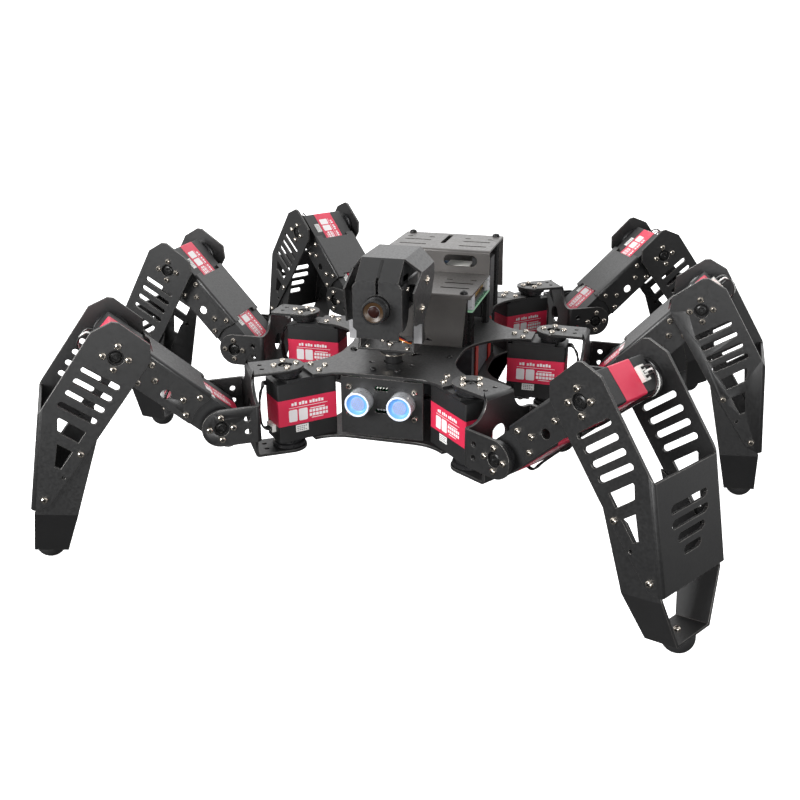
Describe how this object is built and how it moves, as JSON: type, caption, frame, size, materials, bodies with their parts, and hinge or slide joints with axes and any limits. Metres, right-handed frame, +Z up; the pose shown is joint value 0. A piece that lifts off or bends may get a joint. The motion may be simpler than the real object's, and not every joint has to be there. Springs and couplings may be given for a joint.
{
  "type": "hexapod spider robot",
  "caption": "Six-legged walking robot with folded sheet-metal legs, servo joints, a pan and tilt camera head and a vented electronics cover.",
  "frame": {"origin": "on the floor under the middle of the body, midway between the middle hips and between the front and rear hips", "axes": "+Z up, -Y forward along the camera, +X towards the robot's left"},
  "size_m": [0.4663, 0.4522, 0.1723],
  "materials": {
    "black_sheet": "satin black anodised aluminium sheet",
    "grey_sheet": "satin dark grey anodised aluminium sheet",
    "bright_aluminium": "bright drawn cans",
    "servo_case": "fine-textured black nylon and anodised middle case",
    "nickel_steel": "nickel-plated screws and silver spacers; the horns and the large centre screws are black",
    "battery_wrap": "heat-shrink film",
    "circuit_board": "green solder mask",
    "lens_barrel": "black lens barrel and camera board",
    "foot_rubber": "moulded rubber"
  },
  "bodies": {
    "chassis": {"body_plates": "black_sheet", "body_servos": "servo_case", "body_hardware": "nickel_steel", "front_panel": "black_sheet", "ultrasonic_sensor": "bright_aluminium", "battery": "battery_wrap", "controller_board": "circuit_board", "electronics_cover": "grey_sheet"},
    "head_pan": {"head_yoke": "black_sheet"},
    "head_tilt": {"tilt_servo": "servo_case", "camera_hood": "black_sheet", "camera_module": "lens_barrel"},
    "front_left_coxa": {"front_left_coxa_bracket": "black_sheet", "front_left_coxa_hardware": "nickel_steel"},
    "front_left_femur": {"front_left_femur_servos": "servo_case", "front_left_femur_frame": "black_sheet"},
    "front_left_tibia": {"front_left_tibia_shell": "black_sheet", "front_left_tibia_hardware": "nickel_steel", "front_left_foot_bracket": "black_sheet", "front_left_foot": "foot_rubber"},
    "middle_left_coxa": {"middle_left_coxa_bracket": "black_sheet", "middle_left_coxa_hardware": "nickel_steel"},
    "middle_left_femur": {"middle_left_femur_servos": "servo_case", "middle_left_femur_frame": "black_sheet"},
    "middle_left_tibia": {"middle_left_tibia_shell": "black_sheet", "middle_left_tibia_hardware": "nickel_steel", "middle_left_foot_bracket": "black_sheet", "middle_left_foot": "foot_rubber"},
    "rear_left_coxa": {"rear_left_coxa_bracket": "black_sheet", "rear_left_coxa_hardware": "nickel_steel"},
    "rear_left_femur": {"rear_left_femur_servos": "servo_case", "rear_left_femur_frame": "black_sheet"},
    "rear_left_tibia": {"rear_left_tibia_shell": "black_sheet", "rear_left_tibia_hardware": "nickel_steel", "rear_left_foot_bracket": "black_sheet", "rear_left_foot": "foot_rubber"},
    "front_right_coxa": {"front_right_coxa_bracket": "black_sheet", "front_right_coxa_hardware": "nickel_steel"},
    "front_right_femur": {"front_right_femur_servos": "servo_case", "front_right_femur_frame": "black_sheet"},
    "front_right_tibia": {"front_right_tibia_shell": "black_sheet", "front_right_tibia_hardware": "nickel_steel", "front_right_foot_bracket": "black_sheet", "front_right_foot": "foot_rubber"},
    "middle_right_coxa": {"middle_right_coxa_bracket": "black_sheet", "middle_right_coxa_hardware": "nickel_steel"},
    "middle_right_femur": {"middle_right_femur_servos": "servo_case", "middle_right_femur_frame": "black_sheet"},
    "middle_right_tibia": {"middle_right_tibia_shell": "black_sheet", "middle_right_tibia_hardware": "nickel_steel", "middle_right_foot_bracket": "black_sheet", "middle_right_foot": "foot_rubber"},
    "rear_right_coxa": {"rear_right_coxa_bracket": "black_sheet", "rear_right_coxa_hardware": "nickel_steel"},
    "rear_right_femur": {"rear_right_femur_servos": "servo_case", "rear_right_femur_frame": "black_sheet"},
    "rear_right_tibia": {"rear_right_tibia_shell": "black_sheet", "rear_right_tibia_hardware": "nickel_steel", "rear_right_foot_bracket": "black_sheet", "rear_right_foot": "foot_rubber"}
  },
  "joints": [
    {"name": "head_pan", "type": "hinge", "parent": "chassis", "child": "head_pan", "pos_m": [0, -0.0775, 0.106], "axis": [0, 0, 1], "range_deg": [-80, 80]},
    {"name": "head_tilt", "type": "hinge", "parent": "head_pan", "child": "head_tilt", "pos_m": [0, -0.0785, 0.147], "axis": [-1, 0, 0], "range_deg": [-20, 35]},
    {"name": "front_left_hip_swing", "type": "hinge", "parent": "chassis", "child": "front_left_coxa", "pos_m": [0.059, -0.1157, 0.077], "axis": [0, 0, 1], "range_deg": [-52.5, 27.5]},
    {"name": "front_left_hip_lift", "type": "hinge", "parent": "front_left_coxa", "child": "front_left_femur", "pos_m": [0.09712, -0.13999, 0.08], "axis": [-0.5373, -0.8434, 0], "range_deg": [-60, 45]},
    {"name": "front_left_knee", "type": "hinge", "parent": "front_left_femur", "child": "front_left_tibia", "pos_m": [0.14346, -0.16951, 0.13017], "axis": [-0.5373, -0.8434, 0], "range_deg": [-28, 85]},
    {"name": "middle_left_hip_swing", "type": "hinge", "parent": "chassis", "child": "middle_left_coxa", "pos_m": [0.0921, 0, 0.077], "axis": [0, 0, 1], "range_deg": [-37.8, 42.2]},
    {"name": "middle_left_hip_lift", "type": "hinge", "parent": "middle_left_coxa", "child": "middle_left_femur", "pos_m": [0.13727, -0.00174, 0.08], "axis": [-0.0384, -0.9993, 0], "range_deg": [-60, 45]},
    {"name": "middle_left_knee", "type": "hinge", "parent": "middle_left_femur", "child": "middle_left_tibia", "pos_m": [0.18721, -0.00365, 0.13512], "axis": [-0.0384, -0.9993, 0], "range_deg": [-28, 85]},
    {"name": "rear_left_hip_swing", "type": "hinge", "parent": "chassis", "child": "rear_left_coxa", "pos_m": [0.059, 0.1157, 0.077], "axis": [0, 0, 1], "range_deg": [-25, 55]},
    {"name": "rear_left_hip_lift", "type": "hinge", "parent": "rear_left_coxa", "child": "rear_left_femur", "pos_m": [0.09814, 0.1383, 0.08], "axis": [0.5, -0.866, 0], "range_deg": [-60, 45]},
    {"name": "rear_left_knee", "type": "hinge", "parent": "rear_left_femur", "child": "rear_left_tibia", "pos_m": [0.14588, 0.16586, 0.12998], "axis": [0.5, -0.866, 0], "range_deg": [-28, 85]},
    {"name": "front_right_hip_swing", "type": "hinge", "parent": "chassis", "child": "front_right_coxa", "pos_m": [-0.059, -0.1157, 0.077], "axis": [0, 0, 1], "range_deg": [-29.7, 50.3]},
    {"name": "front_right_hip_lift", "type": "hinge", "parent": "front_right_coxa", "child": "front_right_femur", "pos_m": [-0.09616, -0.14143, 0.08], "axis": [-0.5693, 0.8221, 0], "range_deg": [-60, 45]},
    {"name": "front_right_knee", "type": "hinge", "parent": "front_right_femur", "child": "front_right_tibia", "pos_m": [-0.14104, -0.17251, 0.13055], "axis": [-0.5693, 0.8221, 0], "range_deg": [-28, 85]},
    {"name": "middle_right_hip_swing", "type": "hinge", "parent": "chassis", "child": "middle_right_coxa", "pos_m": [-0.0921, 0, 0.077], "axis": [0, 0, 1], "range_deg": [-39.8, 40.2]},
    {"name": "middle_right_hip_lift", "type": "hinge", "parent": "middle_right_coxa", "child": "middle_right_femur", "pos_m": [-0.1373, 0.00016, 0.08], "axis": [0.0035, 1, 0], "range_deg": [-60, 45]},
    {"name": "middle_right_knee", "type": "hinge", "parent": "middle_right_femur", "child": "middle_right_tibia", "pos_m": [-0.18621, 0.00033, 0.13607], "axis": [0.0035, 1, 0], "range_deg": [-28, 85]},
    {"name": "rear_right_hip_swing", "type": "hinge", "parent": "chassis", "child": "rear_right_coxa", "pos_m": [-0.059, 0.1157, 0.077], "axis": [0, 0, 1], "range_deg": [-50.7, 29.3]},
    {"name": "rear_right_hip_lift", "type": "hinge", "parent": "rear_right_coxa", "child": "rear_right_femur", "pos_m": [-0.09634, 0.14117, 0.08], "axis": [0.5635, 0.8261, 0], "range_deg": [-60, 45]},
    {"name": "rear_right_knee", "type": "hinge", "parent": "rear_right_femur", "child": "rear_right_tibia", "pos_m": [-0.14129, 0.17183, 0.13074], "axis": [0.5635, 0.8261, 0], "range_deg": [-28, 85]}
  ]
}
